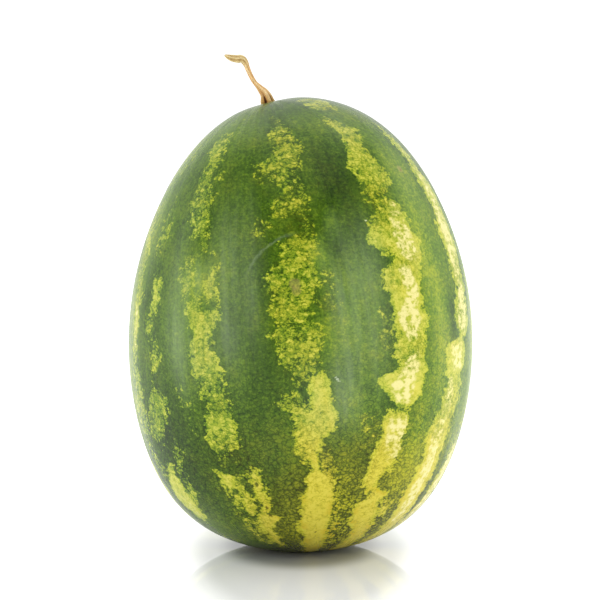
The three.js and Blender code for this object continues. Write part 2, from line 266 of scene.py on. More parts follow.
# Where the missing green leaves cream instead of yellow, partly the rind's own pale cream and partly a
# painted highlight of the light from the right: rows as above.
CREAM_AND_HIGHLIGHT = [
    [(53, 42, 46, 0.5), (58, 40, 47, 0.6), (64, 39, 48, 0.75), (69, 40, 49, 0.8), (72, 43, 48, 0.5)],
    [(73, 38, 43, 0.9), (77, 38, 44, 1.0), (81, 39, 45, 0.9), (86, 35, 43, 1.0), (90, 35, 44, 1.0),
     (95, 37, 42, 0.8)],
    [(99, 37, 42, 0.7), (104, 34, 42, 0.9), (108, 30, 40, 1.0), (113, 31, 38, 0.9)],
    [(118, 29, 37, 0.8), (123, 28, 37, 0.8), (130, 27, 34, 0.5)],
    [(40, 68, 72, 0.5), (50, 68, 74, 0.6), (64, 66, 74, 0.9), (72, 66, 74, 0.9), (80, 66, 72, 0.6),
     (84, 66, 73, 0.9), (90, 64, 72, 1.0), (96, 64, 71, 0.9)],
    [(99.5, 58, 66, 0.65), (107, 58, 66, 0.8)],
    [(110, 56, 61, 0.8), (118, 54, 61, 0.5), (126, 49, 57, 0.6), (134, 48, 56, 0.9), (142, 44, 53, 0.9),
     (152, 43, 50, 0.7)],
    [(131, 69, 78, 0.8), (140, 65, 75, 0.9), (148, 60, 72, 0.8), (156, 58, 70, 0.6)],
    [(76, -69, -64, 0.5), (90, -69, -64, 0.5)],
    [(100, -71, -64, 0.4), (106, -71, -64, 0.3)],
    [(129, -62, -54, 0.3), (139, -62, -53, 0.35)],
]
# Patches of the ground colour: longitude and degrees from the stem, the spread both ways, and how much
# lighter or darker. Some are the rind's own tone; the light ones over the crown and along the left and right
# edges are painted light, and the dark one at the bottom is painted shade.
GROUND_AND_LIGHT_PATCHES = (
    (54, 84, 11, 44, 1.15),
    (61, 92, 2.5, 10, -0.9),
    (69, 124, 6, 22, 0.7),
    (36, 136, 6, 9, 0.9),
    (58, 46, 8, 16, 0.5),
    (47, 108, 7, 10, 0.45),
    (42, 127, 8, 12, 1.25),
    (13, 143, 5, 8, 0.5),
    (-36, 108, 4, 6, 0.35),
    (-60, 77, 4, 7, -0.35),
    (17, 100, 5, 6, -0.3),
    (10, 57, 6, 5, -0.4),
    (63, 129, 4, 10, 0.5),
    (45, 30, 25, 14, 0.3),
    (6, 18, 26, 8, -0.5),
    (21, 92, 9, 34, 0.75),
    (12, 136, 6, 8, 0.3),
    (13, 124, 6, 8, 0.2),
    (24, 45, 7, 9, -0.95),
    (25, 60, 4, 7, -0.6),
    (20, 34, 9, 12, -0.3),
    (19, 64, 3, 5, -0.7),
    (-8, 62, 4, 30, -0.2),
    (-12, 47, 5, 12, 0.15),
    (-22, 66, 6, 12, 0.3),
    (-12, 106, 6, 14, -0.3),
    (-25, 119, 5, 6, -0.5),
    (-12, 126, 7, 13, 0.15),
    (-40, 82, 8, 20, 0.6),
    (-46, 124, 15, 19, -0.4),
    (80, 116, 9, 34, 1.3),
    (84, 80, 8, 30, 1.0),
    (-72, 62, 9, 34, 1.1),
    (-76, 106, 8, 20, 1.0),
    (-75, 30, 16, 12, 0.7),
    (-52, 48, 10, 12, 0.5),
    (-30, 20, 40, 10, 0.8),
    (-66, 60, 6, 30, 0.35),
    (-5, 161, 30, 6, -0.5),
    (-50, 147, 24, 11, 0.6),
    (-12, 150, 14, 10, 0.3),
    (-4, 124, 7, 8, 0.4),
    (12, 130, 4, 8, 0.4),
    (15, 113, 7, 7, 0.3),
    (11, 92, 6, 8, 0.5),
    (-15, 100, 5, 10, 0.4),
    (22, 25, 12, 8, 0.5),
    (50, 66, 6, 14, 0.35),
    (51, 84, 4, 14, 0.2),
    (18, 57, 3, 5, 0.5),
    (-31, 69, 6, 7, 0.9),
    (-31, 80, 5, 7, 0.6),
    (12, 66, 3, 6, 0.8),
    (-52, 112, 7, 10, -0.3),
)
# Where the wax has a grey bloom or is rubbed dull, and a painted sheen where the softboxes' reflections fall:
# as above.
BLOOM_AND_SHEEN_PATCHES = (
    (-12, 76, 4, 15, 0.9),
    (-20, 72, 4, 24, 0.7),
    (-21, 88, 5, 10, 0.8),
    (27, 76, 7, 20, 1.0),
    (17, 80, 5, 16, 1.0),
    (20, 98, 8, 14, 0.8),
    (14, 107, 4, 9, 1.4),
    (-40, 86, 5, 26, 1.7),
    (-22, 60, 5, 13, 0.9),
    (-12, 50, 6, 12, 0.5),
    (-10, 126, 8, 12, 0.12),
    (-31, 90, 6, 13, 0.9),
    (-60, 60, 6, 24, 0.5),
    (57, 46, 7, 12, 0.8),
    (10, 20, 50, 8, 0.6),
    (-25, 17, 40, 8, 0.5),
    (-55, 28, 16, 8, 0.3),
    (80, 120, 8, 30, 0.2),
    (14, 114, 6, 7, 0.5),
    (5, 112, 4, 14, 0.6),
    (18, 57, 3, 6, 0.6),
    (-31, 68, 6, 7, 1.3),
    (42, 28, 8, 6, 0.9),
    (12, 66, 3, 6, 0.6),
    (8, 40, 12, 16, -1.0),
    (-50, 114, 14, 14, -1.3),
    (-58, 136, 8, 10, -0.8),
)
# The field spot, where the fruit lay on the ground: the net of green opens and turns golden there.
FIELD_SPOT = (17, 148, 42, 34)
# From this many degrees from the stem the skin turns golden all round, over so many more.
BLOSSOM_GOLD = 158
BLOSSOM_GOLD_FADE = 10
# How far outside every strand a place counts as bare ground, in millimetres.
OUTSIDE = -30.0
# The stripes about this longitude are riper, and so yellower.
SUNNED = 24


def strand_depth(rows, longitude, from_stem, around, along):
    """How far inside a strand each place lies, in millimetres and below 0 outside it, and its strength."""
    at, left, right, strength = np.array(rows).T
    middle = np.interp(from_stem, at, (left + right) / 2)
    half = np.interp(from_stem, at, (right - left) / 2)
    offset = (longitude - middle + 180) % 360 - 180
    side = (half - np.abs(offset)) * around
    ends = np.minimum(from_stem - at[0], at[-1] - from_stem) * along
    return np.minimum(side, ends + 2), np.interp(from_stem, at, strength)


def grown_stripe(middle, chance):
    """A stripe laid by chance, which wanders, swells and breaks, and leans to the front below."""
    strands = []
    rows = []
    at = chance.uniform(16, 24)
    swell = chance.uniform(3.5, 6)
    while at < 168:
        lean = 24 * math.sin(math.radians(middle + 5)) * max(0, (at - 90) / 70)
        low = min(1, max(0, (at - 95) / 30))
        swell = min(7, max(2.6, swell + chance.uniform(-1.3, 1.3)))
        ends = min(1, 0.45 + 0.2 * len(rows))
        centre = middle - lean + chance.uniform(-1.2, 1.2)
        left = centre - ends * (swell + chance.uniform(-1.5, 1.5)) * (1 + 0.2 * low)
        right = centre + ends * (swell + chance.uniform(-1.5, 1.5)) * (1 + 0.2 * low)
        strength = min(1, chance.uniform(0.55, 0.82) + 0.28 * low) * (0.5 + 0.5 * ends)
        rows.append((at, left, right, strength))
        at += chance.uniform(1.6, 3.4)
        if len(rows) > 6 and at < 125 and chance.random() < 0.14:
            rows.append((at, centre - 0.3 * swell, centre + 0.3 * swell, 0.4))
            strands.append(rows)
            rows = []
            middle += chance.uniform(-2.5, 2.5)
            at += chance.uniform(1.5, 4)
    strands.append(rows)
    return strands


def stripe_fields(places):
    """Each place's depth in a stripe, its strength and cream with a painted highlight, the ground's tones
    with painted light, shade and sheen, and the growth angles.
    """
    turn, fall = growth_angles(places)
    longitude = np.degrees(turn)
    from_stem = np.degrees(fall)
    arms = places - CORE
    reach = np.linalg.norm(arms - np.outer(arms @ GROWTH_AXIS, GROWTH_AXIS), axis=1)
    around = np.radians(reach) / MM
    along = np.radians(np.linalg.norm(arms, axis=1)) / MM
    chance = random.Random(STRIPE_SEED)
    strands = STRANDS + [rows for middle in BACK_STRIPES for rows in grown_stripe(middle, chance)]
    depth = np.full(len(places), OUTSIDE)
    strength = np.zeros(len(places))
    for rows in strands:
        inside, power = strand_depth(rows, longitude, from_stem, around, along)
        strength = np.where(inside > depth, power, strength)
        depth = np.maximum(depth, inside)
    cream_and_highlight = np.zeros(len(places))
    for rows in CREAM_AND_HIGHLIGHT:
        inside, power = strand_depth(rows, longitude, from_stem, around, along)
        cream_and_highlight = np.maximum(cream_and_highlight, power * np.clip((inside + 2) / 5, 0, 1))
    tone_and_painted_light = np.zeros(len(places))
    bloom_and_sheen = np.zeros(len(places))
    for field, patches in ((tone_and_painted_light, GROUND_AND_LIGHT_PATCHES), (bloom_and_sheen, BLOOM_AND_SHEEN_PATCHES)):
        for middle, at, wide, tall, by in patches:
            offset = (longitude - middle + 180) % 360 - 180
            field += by * np.exp(-((offset / wide) ** 2) - ((from_stem - at) / tall) ** 2)
    middle, at, wide, tall = FIELD_SPOT
    offset = (longitude - middle + 180) % 360 - 180
    low = np.clip((from_stem - at + tall) / tall, 0, 1)
    gold = low * np.exp(-((offset / wide) ** 2))
    gold = np.maximum(gold, np.clip((from_stem - BLOSSOM_GOLD) / BLOSSOM_GOLD_FADE, 0, 1))
    return depth, strength, cream_and_highlight, tone_and_painted_light, gold, bloom_and_sheen, turn, fall


def store(mesh, name, *columns):
    """Keeps three numbers for each vertex, which the material reads."""
    made = mesh.attributes.new(name, "FLOAT_VECTOR", "POINT")
    made.data.foreach_set("vector", np.stack(columns, 1).astype(np.float32).ravel())


class Finish:
    """A material, with short calls for the nodes that its finish is mixed from."""

    def __init__(self, name):
        self.material = bpy.data.materials.new(name)
        self.material.use_nodes = True
        self.tree = self.material.node_tree
        self.shader = self.tree.nodes["Principled BSDF"]

    def node(self, kind, inputs, **settings):
        made = self.tree.nodes.new("ShaderNode" + kind)
        for key, value in settings.items():
            setattr(made, key, value)
        for key, value in inputs.items():
            if isinstance(value, bpy.types.NodeSocket):
                self.tree.links.new(value, made.inputs[key])
            else:
                made.inputs[key].default_value = value
        return made

    def stored(self, name):
        return self.node("Attribute", {}, attribute_name=name).outputs["Vector"]

    def parts(self, vector):
        made = self.node("SeparateXYZ", {0: vector})
        return made.outputs[0], made.outputs[1], made.outputs[2]

    def maths(self, operation, a, b=0.0, c=0.0):
        return self.node("Math", {0: a, 1: b, 2: c}, operation=operation).outputs[0]

    def fade(self, value, low, high, first=0.0, last=1.0):
        """A smooth step from first to last while value goes from low to high."""
        limits = {"Value": value, "From Min": low, "From Max": high, "To Min": first, "To Max": last}
        return self.node("MapRange", limits, interpolation_type="SMOOTHSTEP").outputs[0]

    def stretched(self, vector, scale):
        return self.node("Mapping", {"Vector": vector, "Scale": scale}).outputs[0]

    def noise(self, where, size, detail=2.0, roughness=0.5):
        """Soft blotches about size across, from 0 to 1."""
        inputs = {"Vector": where, "Scale": 1 / size, "Detail": detail, "Roughness": roughness}
        return self.node("TexNoise", inputs).outputs[0]

    def centred(self, value):
        """The same about nought."""
        return self.maths("SUBTRACT", value, 0.5)

    def warped(self, where, size, by):
        """Places pushed about by noise of that size, so that what is drawn on them grows crooked."""
        push = self.node("TexNoise", {"Vector": where, "Scale": 1 / size, "Detail": 1.0}).outputs["Color"]
        centred = self.node("VectorMath", {0: push, 1: (0.5, 0.5, 0.5)}, operation="SUBTRACT").outputs[0]
        scaled = self.node("VectorMath", {0: centred, "Scale": by}, operation="SCALE").outputs[0]
        return self.node("VectorMath", {0: where, 1: scaled}, operation="ADD").outputs[0]

    def distance(self, first, second):
        return self.node("VectorMath", {0: first, 1: second}, operation="DISTANCE").outputs["Value"]

    def length(self, vector):
        return self.node("VectorMath", {0: vector}, operation="LENGTH").outputs["Value"]

    def cracks(self, where, size):
        """Distance to the nearest line of a net with meshes of that size, as a share of a mesh."""
        inputs = {"Vector": where, "Scale": 1 / size}
        return self.node("TexVoronoi", inputs, feature="DISTANCE_TO_EDGE").outputs["Distance"]

    def meshes(self, where, size):
        """A tone from 0 to 1 for each mesh of that net."""
        tones = self.node("TexVoronoi", {"Vector": where, "Scale": 1 / size}, feature="F1").outputs["Color"]
        return self.parts(tones)[0]

    def ramp(self, value, stops):
        made = self.node("ValToRGB", {0: value})
        points = made.color_ramp.elements
        while len(points) < len(stops):
            points.new(0.5)
        for point, (place, colour) in zip(points, stops):
            point.position = place
            point.color = shade(*colour)
        return made.outputs[0]

    def mix(self, share, first, last):
        made = self.node("Mix", {0: share, 6: first, 7: last}, data_type="RGBA")
        return made.outputs[2]


def shade(red, green, blue):
    """A colour given as on a screen, from 0 to 255, as the linear light that Blender works in."""
    parts = [c / 255 / 12.92 if c <= 10 else ((c / 255 + 0.055) / 1.055) ** 2.4 for c in (red, green, blue)]
    return (*parts, 1.0)


# Colours of the skin from the darkest veins to bare rind, fresh green on the sides and golden underneath.
FRESH = (
    (0.00, (22, 40, 5)),
    (0.15, (42, 68, 8)),
    (0.28, (67, 97, 18)),
    (0.42, (97, 130, 28)),
    (0.52, (120, 148, 34)),
    (0.64, (153, 170, 46)),
    (0.80, (195, 199, 78)),
    (1.00, (221, 220, 122)),
)
GOLDEN = (
    (0.00, (38, 38, 7)),
    (0.15, (66, 66, 11)),
    (0.28, (86, 98, 19)),
    (0.42, (124, 130, 28)),
    (0.52, (150, 148, 34)),
    (0.64, (182, 172, 46)),
    (0.80, (216, 204, 68)),
    (1.00, (230, 218, 98)),
)
CREAM_AND_HIGHLIGHT_COLOUR = (236, 227, 152)
AMBER_COLOUR = (206, 180, 36)
LIME_COLOUR = (176, 190, 30)
# The grey of the wax's bloom and scuffs, also laid on as a painted sheen.
BLOOM_AND_SHEEN_COLOUR = (172, 190, 152)
NET_SIZE = 3.3 * MM
# Scars and specks: centre and radius in millimetres, colour, and how much of it.
MARKS = (
    ((-3.4, -111.2, 189.1), 5, (164, 146, 88), 0.4),
    ((-2.4, -111.6, 184.6), 4, (160, 142, 84), 0.35),
    ((65.5, -48.3, 259.9), 3.2, (170, 160, 90), 0.55),
    ((65.9, -48.1, 259.4), 1.5, (142, 116, 52), 0.8),
    ((42.1, -89.2, 227.9), 1.3, (214, 222, 162), 0.9),
    ((22.6, -114.3, 129.7), 1, (204, 214, 180), 0.8),
    ((23.6, -114.1, 128.5), 1.1, (204, 214, 180), 0.8),
    ((24.6, -113.9, 127.2), 1, (200, 208, 170), 0.7),
    ((-28.2, -97.2, 57.7), 1.8, (84, 92, 22), 0.9),
    ((-21.6, -90.2, 41.8), 1.5, (92, 84, 20), 0.9),
    ((-19.4, -86.8, 36.3), 1.9, (84, 82, 20), 0.9),
    ((9.6, -76.7, 23.6), 1.0, (70, 60, 20), 0.9),
    ((-28.5, -97.6, 58.8), 1.2, (84, 92, 22), 0.8),
    ((12, 0, 0), 7, (120, 96, 54), 0.9),
    ((12, 0, 0), 3, (72, 54, 30), 0.9),
    ((-22.3, 5, 299), 11, (150, 166, 74), 0.5),
)
# A curved scuff: the centre and radius of its arc, and the middle of the stretch that shows.
SCUFF_CENTRE = (5.6 * MM, -107.8 * MM, 179.5 * MM)
SCUFF_RADIUS = 42.7 * MM
SCUFF_MIDDLE = (-23.1 * MM, -102.6 * MM, 210.7 * MM)
SCUFF_WIDTH = 1.6 * MM


def rind_material():
    rind = Finish("waxy_rind")
    place = rind.node("TexCoord", {}).outputs["Object"]
    flattened = rind.stretched(place, (1, 1, 1.25))
    depth, strength, cream_and_highlight = rind.parts(rind.stored("stripe"))
    tone_and_painted_light, gold, bloom_and_sheen = rind.parts(rind.stored("ground"))
    meridian = rind.stored("meridian")

    # The stripes' ragged edges, more ragged where the stripe is faint.
    broad = rind.centred(rind.noise(flattened, 10 * MM, 2.5))
    ragged = rind.centred(rind.noise(flattened, 5 * MM, 3.0, 0.6))
    edge = rind.maths("MULTIPLY_ADD", broad, 7.0, depth)
    raggedness = rind.maths("MULTIPLY_ADD", strength, -7.0, 18.0)
    edge = rind.maths("MULTIPLY_ADD", ragged, raggedness, edge)
    inside = rind.fade(edge, -1.6, 1.5)

    # The net of veins, the meshes between them, each of its own tone, wormy lines, and three sizes of blotch.
    veined = rind.warped(flattened, 4 * MM, 3.6 * MM)
    net = rind.cracks(veined, NET_SIZE)
    width = rind.fade(rind.noise(flattened, 9 * MM), 0.35, 0.65, 0.06, 0.2)
    vein = rind.maths("SUBTRACT", 1.0, rind.fade(rind.maths("DIVIDE", net, width), 0.0, 1.0))
    thread = rind.fade(net, 0.0, 0.12, 1.0, 0.0)
    mesh_tone = rind.centred(rind.meshes(veined, NET_SIZE))
    bends = rind.noise(rind.warped(flattened, 3 * MM, 2.4 * MM), 3.6 * MM, 1.0)
    worm = rind.fade(rind.maths("ABSOLUTE", rind.centred(bends)), 0.0, 0.07, 1.0, 0.0)
    crumb = rind.centred(rind.noise(rind.warped(flattened, 2.5 * MM, 2 * MM), 1.8 * MM, 1.4, 0.5))
    patch = rind.centred(rind.noise(flattened, 4.5 * MM, 1.5))
    hole = rind.fade(rind.noise(rind.warped(flattened, 5 * MM, 4 * MM), 7 * MM, 2.0), 0.3, 0.46, 1.0, 0.0)
    cloud = rind.centred(rind.noise(place, 26 * MM, 3.0))
    line = rind.centred(rind.noise(meridian, 1 / 16, 2.0))

    # The green ground: lighter and darker in patches and lines, some patches painted light and shade, and
    # opened over the field spot.
    ground = rind.maths("MULTIPLY_ADD", tone_and_painted_light, 0.17, 0.295)
    ground = rind.maths("MULTIPLY_ADD", crumb, 0.36, ground)
    ground = rind.maths("MULTIPLY_ADD", patch, 0.16, ground)
    ground = rind.maths("MULTIPLY_ADD", mesh_tone, 0.05, ground)
    ground = rind.maths("MULTIPLY_ADD", cloud, 0.18, ground)
    ground = rind.maths("MULTIPLY_ADD", line, 0.15, ground)
    gaps = rind.maths("MULTIPLY_ADD", crumb, 0.9, rind.maths("MULTIPLY_ADD", patch, 0.5, net))
    golden = rind.maths("MULTIPLY", gold, gold)
    opened = rind.maths("MULTIPLY", golden, rind.fade(gaps, 0.03, 0.3, 0.0, 1.0))
    ground = rind.maths("MULTIPLY_ADD", opened, 0.28, ground)
    fall = rind.parts(meridian)[2]
    lined = rind.fade(fall, 0.17, 0.27, -0.04, -0.15)
    ground = rind.maths("MULTIPLY_ADD", thread, lined, ground)

    # Bare rind over the ground: where a stripe is faint, much of the green stays, in flecks, veins and holes.
    shown = rind.fade(rind.maths("MULTIPLY", inside, strength), 0.0, 0.3)
    kept = rind.maths("MULTIPLY_ADD", strength, -1.0, 1.25)
    kept = rind.maths("MULTIPLY", shown, rind.maths("ADD", kept, rind.fade(depth, 5.0, 0.0, 0.0, 0.3)))
    kept = rind.maths("MULTIPLY", kept, rind.maths("MULTIPLY_ADD", cream_and_highlight, -0.35, 1.0))
    flecks = rind.maths("MULTIPLY", crumb, 1.4)
    flecks = rind.maths("MULTIPLY_ADD", patch, 1.7, flecks)
    flecks = rind.maths("MULTIPLY_ADD", mesh_tone, 0.5, flecks)
    flecks = rind.maths("MULTIPLY_ADD", vein, -0.4, flecks)
    flecks = rind.maths("MULTIPLY_ADD", worm, -0.5, flecks)
    flecks = rind.maths("MULTIPLY_ADD", hole, -0.5, flecks)
    bared = rind.maths("MULTIPLY", inside, rind.maths("MULTIPLY_ADD", strength, 1.22, -0.26))
    bared = rind.maths("MULTIPLY_ADD", kept, flecks, bared)
    bared = rind.node("Clamp", {"Value": bared}).outputs[0]
    paleness = rind.node("Mix", {0: bared, 2: ground, 3: 0.86}, data_type="FLOAT").outputs[0]
    towards = (math.cos(math.radians(SUNNED)), math.sin(math.radians(SUNNED)), 0)
    facing = rind.node("VectorMath", {0: meridian, 1: towards}, operation="DOT_PRODUCT").outputs["Value"]
    riper = rind.fade(facing, 0.4, 1.0, 0.0, 0.17)
    sunned = rind.maths("MULTIPLY", riper, rind.fade(inside, 0.0, 1.0, 0.25, 1.0))
    tanned = rind.maths("MULTIPLY_ADD", cloud, 0.5, rind.maths("MULTIPLY_ADD", patch, 0.4, gold))
    tanned = rind.maths("ADD", tanned, sunned)
    colour = rind.mix(rind.fade(tanned, -0.1, 0.6), rind.ramp(paleness, FRESH), rind.ramp(paleness, GOLDEN))

    # The stripes' borders are limier, and amber in places over the field spot. Their middles curdle to cream,
    # partly a painted highlight.
    border = rind.maths("MULTIPLY", rind.fade(depth, 5.0, 0.0), rind.fade(paleness, 0.4, 0.7))
    colour = rind.mix(rind.maths("MULTIPLY", border, 0.42), colour, shade(*LIME_COLOUR))
    amber = rind.fade(rind.noise(flattened, 14 * MM, 2.0), 0.46, 0.6)
    amber = rind.maths("MULTIPLY", rind.maths("MULTIPLY", amber, gold), rind.fade(depth, 8.0, 1.0))
    amber = rind.maths("MULTIPLY", amber, rind.maths("MULTIPLY", inside, rind.fade(paleness, 0.6, 0.8)))
    colour = rind.mix(amber, colour, shade(*AMBER_COLOUR))
    curdled = rind.maths("MULTIPLY_ADD", patch, 3.4, rind.maths("MULTIPLY_ADD", crumb, 1.3, 1.05))
    curdled = rind.fade(rind.maths("MULTIPLY", curdled, cream_and_highlight), 0.35, 1.1)
    cream_and_highlight_share = rind.maths("MULTIPLY", curdled, rind.fade(paleness, 0.5, 0.82))
    colour = rind.mix(cream_and_highlight_share, colour, shade(*CREAM_AND_HIGHLIGHT_COLOUR))

    # Scars, scuffs and specks.
    crooked = rind.warped(place, 2.5 * MM, 3 * MM)
    for centre, radius, tint, share in MARKS:
        away = rind.distance(crooked, [c * MM for c in centre])
        mark = rind.fade(away, radius * 0.5 * MM, radius * MM, share, 0.0)
        colour = rind.mix(mark, colour, shade(*tint))
    away = rind.distance(crooked, SCUFF_CENTRE)
    off = rind.maths("ABSOLUTE", rind.maths("SUBTRACT", away, SCUFF_RADIUS))
    reach = rind.distance(place, SCUFF_MIDDLE)
    arc = rind.fade(off, 0.0, SCUFF_WIDTH, 0.17, 0.0)
    scuff = rind.maths("MULTIPLY", arc, rind.fade(reach, 10 * MM, 26 * MM, 1.0, 0.0))
    colour = rind.mix(scuff, colour, shade(*BLOOM_AND_SHEEN_COLOUR))

    # The bloom on the wax, and a painted sheen of the softboxes' reflections, in streaks along the fruit.
    streaks = rind.fade(rind.noise(meridian, 1 / 20, 4.0, 0.6), 0.25, 0.75, 0.5, 1.2)
    bloom_and_sheen_share = rind.maths("MULTIPLY", bloom_and_sheen, streaks)
    colour = rind.mix(rind.maths("MULTIPLY", bloom_and_sheen_share, 0.16), colour, shade(*BLOOM_AND_SHEEN_COLOUR))
    rind.tree.links.new(colour, rind.shader.inputs["Base Color"])

    # The wax: smooth, with pores, low ripples along the fruit, and duller where it is rubbed.
    rubbed = rind.fade(rind.noise(meridian, 1 / 9, 4.0, 0.6), 0.35, 0.75, 0.25, 0.38)
    rind.tree.links.new(rubbed, rind.shader.inputs["Roughness"])
    rind.shader.inputs["Specular IOR Level"].default_value = 0.18
    pores = rind.noise(place, 0.8 * MM, 2.0)
    dents = rind.noise(place, 9 * MM, 2.0)
    ripples = rind.noise(meridian, 1 / 14, 2.0)
    relief = rind.maths("MULTIPLY_ADD", dents, 0.2, rind.maths("MULTIPLY", pores, 0.05))
    relief = rind.maths("MULTIPLY_ADD", ripples, 0.25, relief)
    relief = rind.maths("MULTIPLY_ADD", vein, -0.03, relief)
    bump = rind.node("Bump", {"Height": relief, "Distance": 1 * MM, "Strength": 0.6})
    rind.tree.links.new(bump.outputs[0], rind.shader.inputs["Normal"])
    return rind.material


def make_fruit():
    body = bmesh.new()
    bmesh.ops.create_uvsphere(body, u_segments=FRUIT_SIDES, v_segments=FRUIT_RINGS, radius=1)
    mesh = bpy.data.meshes.new("watermelon_fruit")
    body.to_mesh(mesh)
    body.free()
    directions = np.empty(len(mesh.vertices) * 3)
    mesh.vertices.foreach_get("co", directions)
    places = skin_places(directions.reshape(-1, 3))
    mesh.vertices.foreach_set("co", places.ravel())
    depth, strength, cream_and_highlight, tone_and_painted_light, gold, bloom_and_sheen, turn, fall = stripe_fields(places)
    store(mesh, "stripe", depth, strength, cream_and_highlight)
    store(mesh, "ground", tone_and_painted_light, gold, bloom_and_sheen)
    store(mesh, "meridian", np.cos(turn), np.sin(turn), 0.12 * fall)
    mesh.materials.append(rind_material())
    mesh.shade_smooth()
    mesh.update()
    fruit = bpy.data.objects.new("watermelon_fruit", mesh)
    bpy.context.scene.collection.objects.link(fruit)
    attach(fruit, "root")
    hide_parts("fruit")


make_fruit()

# The stem is the stalk that fed the fruit, cut from the vine and dried to wood. Its foot spreads into toes
# that grip the hollow in the rind, with a cleft between them painted dark as shade. Its tip is bent, swollen
# and torn.
STEM_ROOT = 5 * MM
STEM_SIDES = 60
STEM_STEPS = 220
STEM_RIBS = 5
RIB_DEPTH = 0.1
TOE_DEPTH = 0.27
TOE_LENGTH = 0.08
FLATTENING = 0.16
TWIST = 1.2
FIBRES = 19
FIBRE_DEPTH = 0.012
# The grain runs along the stem: its radius, and how much it is drawn out.
GRAIN_RADIUS = 2.4 * MM
GRAIN_STRETCH = 0.12
CLEFT_SHADE_COLOUR = (84, 44, 16)
STEM_LINE = (
    (0, 0, 0),
    (-1.4, 0.3, 4.6),
    (-5, 0.9, 9),
    (-8.9, 1.8, 13.3),
    (-11.4, 2.4, 17.6),
    (-13.4, 2.4, 22),
    (-15, 1.8, 25.8),
    (-17.3, 0.9, 28.3),
    (-20.6, -0.2, 28.5),
    (-25, -1.4, 29.4),
    (-28.9, -2.2, 31.1),
)
STEM_THICKNESS = (
    (0, 9),
    (0.09, 7.6),
    (0.17, 6.2),
    (0.24, 4.6),
    (0.32, 3.5),
    (0.48, 3.2),
    (0.6, 3.4),
    (0.68, 4.4),
    (0.78, 4.9),
    (0.88, 4.2),
    (0.95, 2.9),
    (1, 1.1),
)

DRIED = ((0.1, (154, 102, 52)), (0.35, (206, 156, 94)), (0.6, (230, 192, 132)), (0.9, (248, 226, 178)))
DRIED_TIP = ((0.1, (140, 108, 62)), (0.35, (188, 156, 98)), (0.6, (214, 190, 132)), (0.9, (240, 224, 176)))
DRIED_FOOT = ((0.1, (112, 70, 30)), (0.35, (180, 124, 62)), (0.6, (212, 168, 98)), (0.9, (238, 212, 152)))


def smooth_line(points, steps):
    """Evenly spaced places on a smooth line through the points, and its direction at each."""
    line = bpy.data.curves.new("stem_line", "CURVE")
    line.dimensions = "3D"
    spline = line.splines.new("BEZIER")
    spline.bezier_points.add(len(points) - 1)
    for knot, point in zip(spline.bezier_points, points):
        knot.co = point
        knot.handle_left_type = knot.handle_right_type = "AUTO"
    spline.resolution_u = 24
    holder = bpy.data.objects.new("stem_line", line)
    bpy.context.scene.collection.objects.link(holder)
    bpy.context.view_layer.update()
    drawn = holder.to_mesh()
    places = np.array([vertex.co for vertex in drawn.vertices])
    holder.to_mesh_clear()
    bpy.data.objects.remove(holder)
    bpy.data.curves.remove(line)
    walked = np.concatenate([[0], np.cumsum(np.linalg.norm(np.diff(places, axis=0), axis=1))])
    even = np.linspace(0, walked[-1], steps + 1)
    along = np.stack([np.interp(even, walked, places[:, axis]) for axis in range(3)], 1)
    heading = np.gradient(along, axis=0)
    return along, heading / np.linalg.norm(heading, axis=1)[:, None], walked[-1]


def dry_stem_material():
    wood = Finish("dry_stem")
    place = wood.node("TexCoord", {}).outputs["Object"]
    grain = wood.stored("grain")
    along, cleft_shade, rib = wood.parts(wood.stored("stem"))
    strand = wood.noise(grain, 1.9 * MM, 1.0, 0.4)
    blotch = wood.noise(place, 3.5 * MM, 2.0)
    tone = wood.maths("MULTIPLY_ADD", strand, 0.6, wood.maths("MULTIPLY_ADD", blotch, 0.5, -0.05))
    # Painted light and shade: the ribs are made lighter and the grooves between them darker.
    tone = wood.maths("MULTIPLY_ADD", rib, 0.17, tone)
    orange = wood.ramp(tone, DRIED)
    olive = wood.ramp(tone, DRIED_TIP)
    straw = wood.ramp(tone, DRIED_FOOT)
    colour = wood.mix(wood.fade(along, 0.55, 0.72), orange, olive)
    colour = wood.mix(wood.fade(along, 0.12, 0.0), colour, straw)
    # Painted shade: the grooves between the toes at the foot are darkened.
    colour = wood.mix(wood.fade(cleft_shade, 0.03, 0.4), colour, shade(*CLEFT_SHADE_COLOUR))
    wood.tree.links.new(colour, wood.shader.inputs["Base Color"])
    wood.shader.inputs["Roughness"].default_value = 0.75
    wood.shader.inputs["Specular IOR Level"].default_value = 0.3
    bump = wood.node("Bump", {"Height": strand, "Distance": 0.3 * MM, "Strength": 0.4})
    wood.tree.links.new(bump.outputs[0], wood.shader.inputs["Normal"])
    return wood.material


